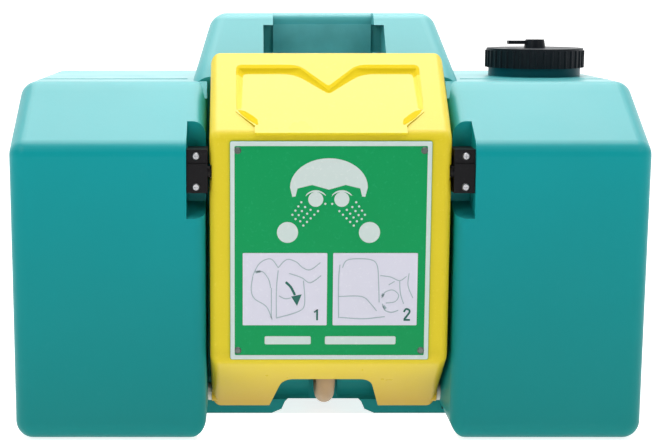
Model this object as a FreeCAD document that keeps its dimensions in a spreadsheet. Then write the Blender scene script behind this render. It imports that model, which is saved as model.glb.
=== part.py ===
import FreeCAD, Part
import math
import os
import re
import Sketcher
from FreeCAD import Placement, Rotation, Vector

# Portable gravity-fed eyewash station: two-lobed tank, fill cap with a vent,
# and a pull-down cover that carries the spray heads between the lobes.
# Millimetres. Z up, front towards -Y, origin at the bottom centre.
# Values ending in _y are distances back from the lobes' front plane.

doc = FreeCAD.newDocument("eyewash_station")
sheet = doc.addObject("Spreadsheet::Sheet", "Sizes")

SIZES = [
    ("overall_width", 540.0), ("overall_depth", 290.0), ("lobe_height", 304.0),
    ("shoulder_y", 80.0), ("shoulder_rise", 49.0), ("edge_r", 16.0), ("inner_edge_r", 11.0),
    ("foot_r", 20.0),
    ("wall_thick", 4.0), ("recess_half", 105.0), ("recess_y", 85.0),
    ("hump_spread", 13.0), ("hump_top_in", 4.0), ("hump_rise", 59.0),
    ("hump_low_front_y", 81.0), ("hump_top_front_y", 142.0), ("hump_top_back_gap", 93.0),
    ("hump_low_back_gap", 28.0), ("hump_r", 17.0),
    ("pocket_half", 55.0), ("pocket_sink", 8.0), ("bar_lip", 10.5),
    ("pocket_back_gap", 52.0), ("bar_front_y", 159.0), ("bar_back_y", 189.0), ("bar_tall", 36.0),
    ("bar_round_r", 8.0),
    ("grip_half", 45.5), ("grip_thick", 3.0), ("grip_corner_r", 6.0),
    ("arch_top_half", 35.0), ("arch_low_half", 47.0), ("arch_z", 14.0), ("arch_foot_z", 4.0),
    ("arch_back_y", 132.0),
    ("channel_half", 13.0), ("channel_z", 71.0),
    ("notch_side", 15.8), ("notch_back_y", 30.0), ("notch_tall", 102.0), ("notch_fall", 8.0),
    ("notch_backing", 12.0),
    ("neck_side_gap", 65.5), ("neck_back_gap", 105.0), ("neck_r", 43.0), ("neck_wall", 7.0),
    ("neck_rise", 22.0), ("cap_wall", 3.5), ("cap_low_gap", 8.0), ("cap_bore_clear", 0.5),
    ("cap_disc_thick", 2.5), ("gasket_thick", 1.5), ("cap_rib_count", 40.0), ("cap_rib_r", 1.2),
    ("vent_hole_r", 4.0), ("vent_fit_clear", 0.05), ("vent_knob_r", 8.75), ("vent_base_r", 10.2),
    ("vent_rise", 8.0), ("vent_tab_length", 17.0), ("vent_tab_width", 9.0),
    ("vent_tab_thick", 3.3), ("vent_tab_lift", 3.6), ("vent_collar_r", 6.5), ("vent_collar_thick", 2.0),
    ("cover_gap", 3.5), ("cover_front_y", 2.5), ("cover_back_y", 76.0), ("cover_rise", 25.0),
    ("cover_bend_drop", 40.0), ("cover_bend_low_z", 71.0), ("cover_low_z", 10.0),
    ("cover_thick", 3.0), ("cover_side_r", 8.0), ("cover_bend_r", 14.0),
    ("mouth_top_half", 38.5), ("mouth_low_half", 49.5), ("mouth_z", 47.0), ("mouth_r", 12.0),
    ("pivot_y", 74.0), ("pivot_z", 24.0), ("swing_r", 15.5), ("pin_r", 4.0), ("pin_clear", 0.05),
    ("bush_wall", 2.0), ("boss_wall", 3.0), ("cover_boss_length", 7.5),
    ("pin_head_r", 5.4), ("pin_head_thick", 3.0), ("insert_wall", 2.5),
    ("hinge_insert_length", 11.0), ("tank_boss_wall", 4.5), ("hinge_tank_boss_length", 15.0),
    ("washer_r", 8.0), ("washer_gap", 0.3),
    ("panel_side_gap", 24.5), ("panel_waist_gap", 40.5), ("panel_waist_along", 10.0),
    ("panel_side_along", 27.0), ("panel_top_along", 79.0), ("panel_vee_half", 24.0),
    ("panel_vee_along", 52.0), ("panel_low_along", 1.0), ("panel_turn_along", 38.0),
    ("panel_tilt_deg", 2.8), ("panel_back", 4.6), ("panel_lap", 2.5),
    ("sign_side_gap", 17.2), ("sign_low_gap", 1.6), ("sign_top_gap", 4.6), ("sign_thick", 1.3),
    ("sign_corner_r", 1.5), ("rivet_inset_x", 6.5), ("rivet_inset_z", 8.0), ("rivet_r", 1.6),
    ("rivet_head_r", 3.0), ("rivet_head_thick", 0.9), ("rivet_tail_thick", 1.4),
    ("catch_r", 2.0), ("catch_lap", 2.0), ("notch_gap", 0.3), ("catch_front_y", 2.0),
    ("catch_low_rise", 13.5), ("catch_top_rise", 50.0), ("catch_step_rise", 38.0), ("catch_step", 1.2),
    ("plunger_y", 8.2), ("plunger_rise", 31.0), ("plunger_r", 5.0),
    ("plunger_clear", 0.05), ("tip_gap", 0.3), ("plunger_length", 11.7), ("plunger_travel", 2.8),
    ("spring_solid", 4.2),
    ("catch_spring_r", 3.3), ("catch_spring_wire_r", 0.45), ("catch_spring_turns", 4.0),
    ("catch_spring_steps", 12.0),
    ("groove_band", 6.3), ("groove_deep", 1.9),
    ("catch_screw_out", 7.6), ("screw_top_rise", 44.4), ("screw_low_rise", 18.6),
    ("catch_screw_r", 1.9), ("catch_screw_head_r", 3.3), ("catch_screw_head_thick", 1.7),
    ("catch_screw_end_y", 37.0), ("catch_insert_r", 3.4), ("catch_insert_length", 9.0),
    ("hose_r", 8.5), ("hose_wall", 3.0), ("outlet_y", 117.0), ("hose_bend_r", 35.5),
    ("hose_bend_z", 57.0), ("hose_start_z", 66.5), ("hose_end_drop", 14.0),
    ("outlet_flange_r", 11.5), ("outlet_flange_thick", 3.0), ("outlet_gasket_thick", 1.0),
    ("outlet_thread_r", 8.0), ("outlet_bore_r", 4.2), ("outlet_barb_low_z", 54.5),
    ("outlet_rise", 12.0), ("outlet_nut_r", 13.0), ("outlet_nut_thick", 6.0),
    ("clamp_thick", 1.4), ("clamp_width", 7.0), ("clamp_lug", 4.5),
    ("manifold_y", 18.5), ("manifold_drop", 20.0), ("manifold_r", 8.0), ("manifold_bore_r", 5.5),
    ("manifold_half", 60.0), ("manifold_stub", 26.0), ("head_x", 44.0),
    ("head_stem_r", 6.5), ("head_stem_end_y", 38.0), ("head_bell_end_y", 60.0),
    ("head_bell_r", 17.0), ("head_wall", 2.0), ("head_face_thick", 3.0),
    ("head_hole_r", 0.9), ("head_hole_count", 8.0), ("head_hole_ring_r", 9.5),
    ("head_screen_thick", 1.2), ("head_nut_r", 10.0), ("head_nut_thick", 5.0),
    ("clip_x", 22.0), ("clip_width", 9.0), ("clip_half_height", 11.5), ("clip_screw_r", 1.5),
    ("wall_insert_x", 150.0), ("wall_insert_low_z", 90.0), ("wall_insert_drop", 74.0),
    ("wall_insert_r", 6.0), ("wall_insert_bore_r", 3.4), ("wall_insert_length", 14.0),
    ("wall_insert_bore_depth", 12.0), ("wall_boss_r", 10.0), ("wall_boss_length", 18.0),
]

# Sizes that follow others, so that what fits keeps its fit.
TIED = {
    "cover_half": "recess_half - cover_gap",
    "catch_inner_x": "recess_half - catch_lap",
    "catch_outer_x": "recess_half + notch_side - notch_gap",
    "catch_screw_x": "recess_half + catch_screw_out",
    "groove_floor_x": "cover_half - groove_deep",
    "plunger_tip_x": "groove_floor_x + tip_gap",
    "plunger_tail_x": "plunger_tip_x + plunger_length",
    "plunger_bore_x": "plunger_tail_x + plunger_travel + spring_solid",
    "sign_half": "cover_half - sign_side_gap",
    "sign_top_z": "cover_bend_top_z - sign_top_gap",
    "sign_low_z": "cover_bend_low_z + sign_low_gap",
    "panel_half": "cover_half - panel_side_gap",
    "panel_waist_half": "cover_half - panel_waist_gap",
    "hump_low_half": "recess_half + hump_spread",
    "hump_top_half": "recess_half - hump_top_in",
    "hump_low_back_y": "overall_depth - hump_low_back_gap",
    "hump_top_back_y": "overall_depth - hump_top_back_gap",
    "pocket_back_y": "overall_depth - pocket_back_gap",
    "overall_height": "lobe_height + hump_rise",
    "pocket_floor_z": "lobe_height - pocket_sink",
    "pocket_roof_z": "overall_height - bar_lip",
    "bar_low_z": "overall_height - bar_tall",
    "neck_x": "overall_width / 2 - neck_side_gap",
    "neck_y": "overall_depth - neck_back_gap",
    "cover_top_z": "lobe_height + cover_rise",
    "cover_bend_top_z": "lobe_height - cover_bend_drop",
    "notch_low_z": "lobe_height - notch_tall",
    "catch_low_z": "notch_low_z + catch_low_rise",
    "catch_top_z": "notch_low_z + catch_top_rise",
    "catch_step_z": "notch_low_z + catch_step_rise",
    "plunger_z": "notch_low_z + plunger_rise",
    "catch_screw_top_z": "notch_low_z + screw_top_rise",
    "catch_screw_low_z": "notch_low_z + screw_low_rise",
    "manifold_z": "cover_bend_top_z - manifold_drop",
    "hose_end_z": "manifold_z - hose_end_drop",
    "wall_insert_top_z": "lobe_height - wall_insert_drop",
    "hose_bore_r": "hose_r - hose_wall",
    "bush_r": "pin_r + bush_wall",
    "hinge_insert_r": "pin_r + insert_wall",
    "cover_boss_r": "bush_r + boss_wall",
    "hinge_tank_boss_r": "hinge_insert_r + tank_boss_wall",
    "neck_bore_r": "neck_r - neck_wall",
    "cap_r": "neck_r + cap_wall",
}

for row, (name, amount) in enumerate(SIZES, start=1):
    sheet.set("A%d" % row, name.replace("_", " "))
    sheet.set("B%d" % row, repr(amount))
    sheet.setAlias("B%d" % row, name)
doc.recompute()
v = {}
for name, amount in SIZES:
    v[name] = float(sheet.get(name))
NAMES = set(v)


def spell(text):
    """Write out the sizes that follow others until only the sheet's own names are left."""
    def swap(match):
        word = match.group(0)
        return "(%s)" % TIED[word] if word in TIED else word
    text = str(text)
    while any(word in TIED for word in re.findall(r"[a-z][a-z_0-9]*", text)):
        text = re.sub(r"[a-z][a-z_0-9]*", swap, text)
    return text


def ex(text):
    """Put the sheet's name in front of each named size."""
    def swap(match):
        word = match.group(0)
        return "Sizes." + word if word in NAMES else word
    return re.sub(r"[a-z][a-z_0-9]*", swap, spell(text))


def number(text):
    """Work out a bound size through a scratch cell, so a sketch starts near its solution."""
    sheet.set("D1", "=" + spell(text))
    sheet.recompute()
    return float(sheet.get("D1"))


for name in TIED:
    v[name] = number(name)


def back(text):
    """A distance behind the front plane, as a frame Y."""
    return "(%s) - overall_depth / 2" % text


def bind(obj, **pairs):
    for prop, text in pairs.items():
        obj.setExpression(prop, ex(text))
    return obj


def place(obj, x, y, z, axis=None, angle=0.0):
    if axis is not None:
        obj.Placement = Placement(Vector(0, 0, 0), Rotation(axis, angle))
    obj.setExpression("Placement.Base.x", ex(x))
    obj.setExpression("Placement.Base.y", ex(y))
    obj.setExpression("Placement.Base.z", ex(z))
    return obj


# --- plain solids -----------------------------------------------------------

def box(label, x0, x1, y0, y1, z0, z1):
    obj = doc.addObject("Part::Box", label)
    bind(obj, Length="(%s) - (%s)" % (x1, x0), Width="(%s) - (%s)" % (y1, y0),
         Height="(%s) - (%s)" % (z1, z0))
    return place(obj, x0, back(y0), z0)


TURN = {"x": (Vector(0, 1, 0), 90.0), "y": (Vector(1, 0, 0), -90.0), "z": (Vector(0, 0, 1), 0.0)}


def cyl(label, r, start, end, axis, a, b):
    """A cylinder from start to end along an axis; a and b are the other two positions."""
    obj = doc.addObject("Part::Cylinder", label)
    bind(obj, Radius=r, Height="(%s) - (%s)" % (end, start))
    where = {"x": (start, back(a), b), "y": (a, back(start), b), "z": (a, back(b), start)}[axis]
    return place(obj, *where, *TURN[axis])


def cone(label, r1, r2, start, end, axis, a, b):
    obj = doc.addObject("Part::Cone", label)
    bind(obj, Radius1=r1, Radius2=r2, Height="(%s) - (%s)" % (end, start))
    where = {"x": (start, back(a), b), "y": (a, back(start), b), "z": (a, back(b), start)}[axis]
    return place(obj, *where, *TURN[axis])


def fuse(label, *items):
    obj = doc.addObject("Part::MultiFuse", label)
    obj.Shapes = list(items)
    obj.Refine = True
    return obj


def cut(label, base, *tools):
    tool = tools[0]
    if len(tools) > 1:
        tool = doc.addObject("Part::Compound", label + "_tools")
        tool.Links = list(tools)
    obj = doc.addObject("Part::Cut", label)
    obj.Base = base
    obj.Tool = tool
    return obj


def group(label, *items):
    obj = doc.addObject("Part::Compound", label)
    obj.Links = list(items)
    return obj


# --- sketched solids --------------------------------------------------------

def plane_of(body, role):
    for feature in body.Origin.OriginFeatures:
        if feature.Role == role:
            return feature
    raise RuntimeError("no plane " + role)


def outline(body, label, role, points, offset="0"):
    """A closed sketch of straight sides whose corners are bound to named sizes."""
    sk = body.newObject("Sketcher::SketchObject", label)
    sk.AttachmentSupport = [(plane_of(body, role), "")]
    sk.MapMode = "FlatFace"
    sk.setExpression("AttachmentOffset.Base.z", ex(offset))
    spots = []
    for a, b in points:
        spots.append(Vector(number(a), number(b), 0))
    count = len(spots)
    for i in range(count):
        sk.addGeometry(Part.LineSegment(spots[i], spots[(i + 1) % count]), False)
    for i in range(count):
        sk.addConstraint(Sketcher.Constraint("Coincident", i, 2, (i + 1) % count, 1))
    for i, (a, b) in enumerate(points):
        k = sk.addConstraint(Sketcher.Constraint("DistanceX", -1, 1, i, 1, spots[i].x))
        sk.setExpression("Constraints[%d]" % k, ex(a))
        k = sk.addConstraint(Sketcher.Constraint("DistanceY", -1, 1, i, 1, spots[i].y))
        sk.setExpression("Constraints[%d]" % k, ex(b))
    return sk


def pad(body, label, sk, length):
    obj = body.newObject("PartDesign::Pad", label)
    obj.Profile = sk
    bind(obj, Length=length)
    return obj


def pocket(body, label, sk, length):
    """A pocket that runs along the sketch's own normal."""
    obj = body.newObject("PartDesign::Pocket", label)
    obj.Profile = sk
    obj.Type = 0
    obj.Reversed = True
    bind(obj, Length=length)
    return obj


def round_edges(body, label, radius, keep):
    """Fillet each edge of the body's tip that keep accepts."""
    doc.recompute()
    tip = body.Tip
    names = []
    for i, edge in enumerate(tip.Shape.Edges, start=1):
        if keep(edge):
            names.append("Edge%d" % i)
    if not names:
        raise RuntimeError("no edges for " + label)
    obj = body.newObject("PartDesign::Fillet", label)
    obj.Base = (tip, names)
    bind(obj, Radius=radius)
    doc.recompute()
    return obj


def ends(edge):
    return edge.Vertexes[0].Point, edge.Vertexes[-1].Point


def near(a, b, tol=0.05):
    return abs(a - b) < tol


HALF_DEPTH = v["overall_depth"] / 2


# --- tank -------------------------------------------------------------------

def rect(x0, x1, y0, y1):
    return [(x0, back(y0)), (x1, back(y0)), (x1, back(y1)), (x0, back(y1))]


def tank_solid(label, t):
    """The tank's outside (t = 0) or its water space (t = wall thickness)."""
    body = doc.addObject("PartDesign::Body", label)
    slope = "sqrt(shoulder_y * shoulder_y + shoulder_rise * shoulder_rise)"
    low = "lobe_height - shoulder_rise - %s * shoulder_y / %s" % (t, slope)
    front_z = "%s + %s * (1 - shoulder_rise / %s) * shoulder_rise / shoulder_y" % (low, t, slope)
    top_y = "shoulder_y + %s * (%s - shoulder_y) / shoulder_rise" % (t, slope)
    side = [(back(t), t), (back(t), front_z), (back(top_y), "lobe_height - %s" % t),
            (back("overall_depth - %s" % t), "lobe_height - %s" % t),
            (back("overall_depth - %s" % t), t)]
    sk = outline(body, label + "_side", "YZ_Plane", side, "-overall_width / 2 + %s" % t)
    pad(body, label + "_lobes", sk, "overall_width - 2 * (%s)" % t)
    half = "recess_half + %s" % t
    sk = outline(body, label + "_recess_plan", "XY_Plane",
                 rect("-(%s)" % half, half, "-20", "recess_y + %s" % t), "-10")
    pocket(body, label + "_recess", sk, "lobe_height + 20")
    outer = v["overall_width"] / 2 - (0.0 if t == "0" else v["wall_thick"])
    inner = v["recess_half"] + (0.0 if t == "0" else v["wall_thick"])
    inset = 0.0 if t == "0" else v["wall_thick"]

    def profile_edge(edge):
        a, b = ends(edge)
        if not (near(a.y, b.y) and near(a.z, b.z)):
            return False
        front_rim = near(a.y, -HALF_DEPTH + inset)
        rear_rim = near(a.y, HALF_DEPTH - inset)
        top_rim = near(a.z, v["lobe_height"] - inset)
        return front_rim or rear_rim or top_rim

    def end_edge(edge):
        a, b = ends(edge)
        return near(abs(a.x), outer) and near(abs(b.x), outer)

    def inner_edge(edge):
        a, b = ends(edge)
        on_side = near(abs(a.x), inner) and near(abs(b.x), inner)
        return on_side and a.y < -HALF_DEPTH + v["recess_y"] - 1 or (
            on_side and b.y < -HALF_DEPTH + v["recess_y"] - 1)

    shrink = "edge_r - %s" % t
    round_edges(body, label + "_long_rounds", shrink, profile_edge)
    round_edges(body, label + "_end_rounds", "edge_r - 1 - %s" % t, end_edge)
    if t == "0":
        round_edges(body, label + "_inner_rounds", "inner_edge_r", inner_edge)
    return body


def hump_solid(label, t):
    """The raised centre: a tapered block, then the clearances for cover and hand."""
    obj = doc.addObject("Part::Wedge", label)
    low = "lobe_height - 14"
    grow = "(14 / (overall_height - lobe_height))"
    flare = "(hump_low_half - hump_top_half) * %s" % grow
    bind(obj, Xmin="-(hump_low_half + %s - %s)" % (flare, t), Xmax="hump_low_half + %s - %s" % (flare, t),
         X2min="-(hump_top_half - %s)" % t, X2max="hump_top_half - %s" % t,
         Ymin="0", Ymax="overall_height - %s - (%s)" % (t, low),
         Zmin="-(hump_low_back_y + (hump_low_back_y - hump_top_back_y) * %s - %s - overall_depth / 2)"
         % (grow, t),
         Zmax="-(hump_low_front_y - (hump_top_front_y - hump_low_front_y) * %s + %s - overall_depth / 2)"
         % (grow, t),
         Z2min="-(hump_top_back_y - %s - overall_depth / 2)" % t,
         Z2max="-(hump_top_front_y + %s - overall_depth / 2)" % t)
    obj.Placement = Placement(Vector(0, 0, 0), Rotation(Vector(1, 0, 0), 90.0))
    obj.setExpression("Placement.Base.z", ex(low))
    return obj


def rounded_hump(label):
    raw = hump_solid(label + "_block", "0")
    doc.recompute()
    names = []
    for i, edge in enumerate(raw.Shape.Edges, start=1):
        a, b = ends(edge)
        if max(a.z, b.z) > v["overall_height"] - 0.1:
            names.append((i, v["hump_r"], v["hump_r"]))
    obj = doc.addObject("Part::Fillet", label)
    obj.Base = raw
    obj.Edges = names
    return obj


def clearances(tag, t):
    """What is taken out of the tank for the cover, the hand, the hose and the catches."""
    cuts = []
    # in front of the hump, above the recess
    cuts.append(box("cover_way_" + tag, "-hump_low_half - 12", "hump_low_half + 12", "-20",
                    "recess_y + %s" % t, "lobe_height + 0.02 - %s" % t, "overall_height + 20"))
    cuts.append(box("recess_way_" + tag, "-recess_half - %s" % t, "recess_half + %s" % t, "-20",
                    "recess_y + %s" % t, "-10", "overall_height + 20"))
    # hand pocket in front of the bar, slot under it, and finger room behind it
    cuts.append(box("pocket_front_" + tag, "-pocket_half - %s" % t, "pocket_half + %s" % t,
                    "recess_y - 30", "bar_front_y + %s" % t, "pocket_floor_z - %s" % t,
                    "pocket_roof_z + %s" % t))
    if t == "0":
        # the lip over the grip is open, and the bar's front top edge is round
        cuts.append(box("pocket_lip", "-grip_half - 0.6", "grip_half + 0.6", "recess_y - 30",
                        "bar_front_y", "pocket_roof_z - 1", "overall_height + 20"))
        cuts.append(cut("bar_round",
                        box("bar_round_box", "-grip_half - 0.6", "grip_half + 0.6", "bar_front_y - 1",
                            "bar_front_y + bar_round_r", "overall_height - bar_round_r",
                            "overall_height + 1"),
                        cyl("bar_round_rod", "bar_round_r", "-grip_half - 5", "grip_half + 5", "x",
                            "bar_front_y + bar_round_r", "overall_height - bar_round_r")))
    else:
        cuts.append(box("pocket_lip_" + tag, "-grip_half - 0.6 - %s" % t, "grip_half + 0.6 + %s" % t,
                        "recess_y - 30", "bar_front_y + %s" % t, "pocket_roof_z - 1",
                        "overall_height + 20"))
    cuts.append(box("pocket_under_" + tag, "-pocket_half - %s" % t, "pocket_half + %s" % t,
                    "bar_front_y - 2", "bar_back_y + 2", "pocket_floor_z - %s" % t,
                    "bar_low_z + %s" % ("40" if t != "0" else "0")))
    cuts.append(box("pocket_back_" + tag, "-pocket_half - %s" % t, "pocket_half + %s" % t,
                    "bar_back_y - %s" % t, "pocket_back_y + %s" % t, "pocket_floor_z - %s" % t,
                    "overall_height + 20"))
    # hose channel up the back of the recess
    cuts.append(box("channel_" + tag, "-channel_half - %s" % t, "channel_half + %s" % t,
                    "recess_y - 10", "arch_back_y + %s" % t, "-10", "channel_z + %s" % t))
    cuts.append(cyl("swing_way_" + tag, "swing_r + %s" % t, "-recess_half - %s" % t,
                    "recess_half + %s" % t, "x", "pivot_y", "pivot_z"))
    # round the lobes' inner bottom edges
    for side, sign in (("left", "-"), ("right", "")):
        low, high = "recess_half - 2", "recess_half + foot_r"
        if sign:
            low, high = "-recess_half - foot_r", "-recess_half + 2"
        cuts.append(cut("foot_round_%s_%s" % (side, tag),
                        box("foot_box_%s_%s" % (side, tag), low, high, "-20", "recess_y", "-2",
                            "foot_r"),
                        cyl("foot_rod_%s_%s" % (side, tag), "foot_r - %s" % t, "-30", "recess_y + 10",
                            "y", sign + "(recess_half + foot_r)", "foot_r")))
    deep = "notch_back_y + %s" % ("notch_backing" if t != "0" else "0")
    for side in ("left", "right"):
        start = "recess_half - 3" if side == "right" else "-recess_half - notch_side - %s" % t
        body = doc.addObject("PartDesign::Body", "%s_notch_%s" % (side, tag))
        foot = "notch_low_z - notch_fall - %s" % t
        points = [(back("-20"), foot), (back("0"), foot),
                  (back(deep), "notch_low_z + 3 - %s" % t), (back(deep), "overall_height"),
                  (back("-20"), "overall_height")]
        sk = outline(body, "%s_notch_side_%s" % (side, tag), "YZ_Plane", points, start)
        pad(body, "%s_notch_pad_%s" % (side, tag), sk, "notch_side + 3 + %s" % t)
        cuts.append(body)
    return cuts


def arch_cut(label, t):
    body = doc.addObject("PartDesign::Body", label)
    low = "arch_low_half + %s" % t
    knee = "arch_top_half + 3 + %s" % t
    top = "arch_top_half + %s" % t
    roof = "arch_z + %s" % t
    pts = [("-(%s)" % low, "-10"), (low, "-10"), (low, "0.01"), (knee, "arch_foot_z"),
           (top, roof + " - 3"), (top + " - 3", roof), ("-(%s) + 3" % top, roof),
           ("-(%s)" % top, roof + " - 3"), ("-(%s)" % knee, "arch_foot_z"),
           ("-(%s)" % low, "0.01")]
    # the XZ plane faces -Y, so the sketch starts at the back and the pad runs forward
    sk = outline(body, label + "_front", "XZ_Plane", pts, "-(%s)" % back("arch_back_y + %s" % t))
    pad(body, label + "_pad", sk, "arch_back_y + %s - recess_y + 10" % t)
    return body


WALL = "wall_thick"
outside = fuse("tank_outside", tank_solid("tank_lobes", "0"), rounded_hump("hump_outside"))
outer = cut("tank_outer", outside, *clearances("outer", "0"), arch_cut("arch_outer", "0"))
inside = fuse("tank_inside", tank_solid("water_lobes", WALL), hump_solid("hump_inside", WALL))
inner = cut("tank_inner", inside, *clearances("inner", WALL), arch_cut("arch_inner", WALL))
hollow = cut("tank_hollow", outer, inner)

bosses = []
drills = []
for side, sign in (("left", "-"), ("right", "")):
    bosses.append(cyl("hinge_boss_" + side, "hinge_tank_boss_r",
                      "recess_half + 1" if sign == "" else "-recess_half - hinge_tank_boss_length",
                      "recess_half + hinge_tank_boss_length" if sign == "" else "-recess_half - 1",
                      "x", "pivot_y", "pivot_z"))
    drills.append(cyl("hinge_drill_" + side, "hinge_insert_r",
                      "recess_half - 5" if sign == "" else "-recess_half - hinge_insert_length",
                      "recess_half + hinge_insert_length" if sign == "" else "-recess_half + 5",
                      "x", "pivot_y", "pivot_z"))
    for level in ("low", "top"):
        tag = side + "_" + level
        at_x = sign + "wall_insert_x"
        at_z = "wall_insert_%s_z" % level
        bosses.append(cyl("wall_boss_" + tag, "wall_boss_r", "overall_depth - wall_boss_length",
                          "overall_depth - 1", "y", at_x, at_z))
        drills.append(cyl("wall_drill_" + tag, "wall_insert_r", "overall_depth - wall_insert_length",
                          "overall_depth + 5", "y", at_x, at_z))
        catch_x = sign + "catch_screw_x"
        catch_z = "catch_screw_%s_z" % level
        drills.append(cyl("catch_drill_" + tag, "catch_insert_r", "notch_back_y - 2",
                          "notch_back_y + catch_insert_length", "y", catch_x, catch_z))
drills.append(cyl("neck_drill", "neck_bore_r", "lobe_height - 30", "lobe_height + 5", "z",
                  "neck_x", "neck_y"))
drills.append(cyl("outlet_drill", "outlet_thread_r", "channel_z - 2", "channel_z + 20", "z",
                  "0", "outlet_y"))
tank = cut("tank_shell", fuse("tank_bossed", hollow, *bosses), *drills)

neck = cut("filler_neck",
           cyl("neck_tube", "neck_r", "lobe_height", "lobe_height + neck_rise", "z", "neck_x", "neck_y"),
           cyl("neck_bore", "neck_bore_r", "lobe_height - 1", "lobe_height + neck_rise + 1", "z",
               "neck_x", "neck_y"))

grip_outer = box("grip_outer", "-grip_half", "grip_half", "bar_front_y - grip_thick",
                 "bar_back_y + grip_thick", "bar_low_z - grip_thick", "pocket_roof_z")
grip_inner = box("grip_inner", "-grip_half - 1", "grip_half + 1", "bar_front_y", "bar_back_y",
                 "bar_low_z", "pocket_roof_z + 1")
grip = cut("handle_grip", grip_outer, grip_inner)

# --- fill cap ---------------------------------------------------------------
CAP_LOW = "lobe_height + cap_low_gap"
CAP_UNDER = "lobe_height + neck_rise + gasket_thick"
CAP_TOP = CAP_UNDER + " + cap_disc_thick"
gasket = cut("cap_gasket",
             cyl("gasket_disc", "neck_r - 0.5", "lobe_height + neck_rise", CAP_UNDER, "z",
                 "neck_x", "neck_y"),
             cyl("gasket_hole", "neck_bore_r", "lobe_height", "lobe_height + 60", "z",
                 "neck_x", "neck_y"))
cap_blank = cyl("cap_blank", "cap_r - cap_rib_r", CAP_LOW, CAP_TOP, "z", "neck_x", "neck_y")
cap_ribs = []
for i in range(int(v["cap_rib_count"])):
    turn = "360 * %d / cap_rib_count" % i
    cap_ribs.append(cyl("cap_rib_%d" % i, "cap_rib_r", CAP_LOW, CAP_TOP + " - 2", "z",
                        "neck_x + (cap_r - cap_rib_r) * cos(%s)" % turn,
                        "neck_y + (cap_r - cap_rib_r) * sin(%s)" % turn))
cap_body = fuse("cap_ribbed", cap_blank, *cap_ribs)
cap = cut("fill_cap", cap_body,
          cyl("cap_bore", "neck_r + cap_bore_clear", "lobe_height", CAP_UNDER, "z", "neck_x", "neck_y"),
          cyl("cap_vent", "vent_hole_r", "lobe_height", CAP_TOP + " + 5", "z", "neck_x", "neck_y"))
knob = fuse("vent_knob",
            cone("knob_cone", "vent_base_r", "vent_knob_r", CAP_TOP, CAP_TOP + " + vent_rise", "z",
                 "neck_x", "neck_y"),
            cyl("knob_stem", "vent_hole_r - vent_fit_clear", CAP_UNDER + " - 4", CAP_TOP + " + 1", "z",
                "neck_x", "neck_y"),
            box("knob_tab", "neck_x - vent_knob_r - vent_tab_length", "neck_x - 2",
                "neck_y - vent_tab_width / 2", "neck_y + vent_tab_width / 2",
                CAP_TOP + " + vent_tab_lift", CAP_TOP + " + vent_tab_lift + vent_tab_thick"))
collar = cut("vent_collar",
             cyl("collar_disc", "vent_collar_r", CAP_UNDER + " - vent_collar_thick - 0.3",
                 CAP_UNDER + " - 0.3", "z", "neck_x", "neck_y"),
             cyl("collar_hole", "vent_hole_r - vent_fit_clear", "lobe_height", "lobe_height + 60", "z",
                 "neck_x", "neck_y"))
doc.recompute()


# --- pull-down cover --------------------------------------------------------
REAR = -HALF_DEPTH + v["cover_back_y"]


def cover_solid(label, t, reach):
    """The cover's outside (t = 0), or the space inside it carried on past its open back."""
    run = "(cover_back_y - cover_front_y)"
    rise = "(cover_top_z - cover_bend_top_z)"
    fall = "(cover_bend_low_z - cover_low_z)"
    drop = "%s * sqrt(%s * %s + %s * %s) / %s" % (t, run, run, rise, rise, run)
    lift = "%s * sqrt(%s * %s + %s * %s) / %s" % (t, run, run, fall, fall, run)
    points = [(back("cover_back_y + %s" % reach),
               "cover_top_z + %s * %s / %s - %s" % (reach, rise, run, drop)),
              (back("cover_front_y + %s" % t),
               "cover_bend_top_z + %s * %s / %s - %s" % (t, rise, run, drop)),
              (back("cover_front_y + %s" % t),
               "cover_bend_low_z - %s * %s / %s + %s" % (t, fall, run, lift)),
              (back("cover_back_y + %s" % reach),
               "cover_low_z - %s * %s / %s + %s" % (reach, fall, run, lift))]
    body = doc.addObject("PartDesign::Body", label)
    sk = outline(body, label + "_side", "YZ_Plane", points, "-cover_half + %s" % t)
    pad(body, label + "_pad", sk, "2 * (cover_half - %s)" % t)
    inset = 0.0 if t == "0" else v["cover_thick"]
    front = -HALF_DEPTH + v["cover_front_y"] + inset
    rear = REAR + float(reach)

    def bend_edge(edge):
        a, b = ends(edge)
        return near(a.y, front) and near(b.y, front) and near(a.z, b.z)

    def side_edge(edge):
        a, b = ends(edge)
        on_side = near(abs(a.x), v["cover_half"] - inset) and near(a.x, b.x)
        return on_side and not (near(a.y, rear) and near(b.y, rear))

    round_edges(body, label + "_bends", "cover_bend_r - %s" % t, bend_edge)
    round_edges(body, label + "_sides", "cover_side_r - %s" % t, side_edge)
    return body


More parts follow.
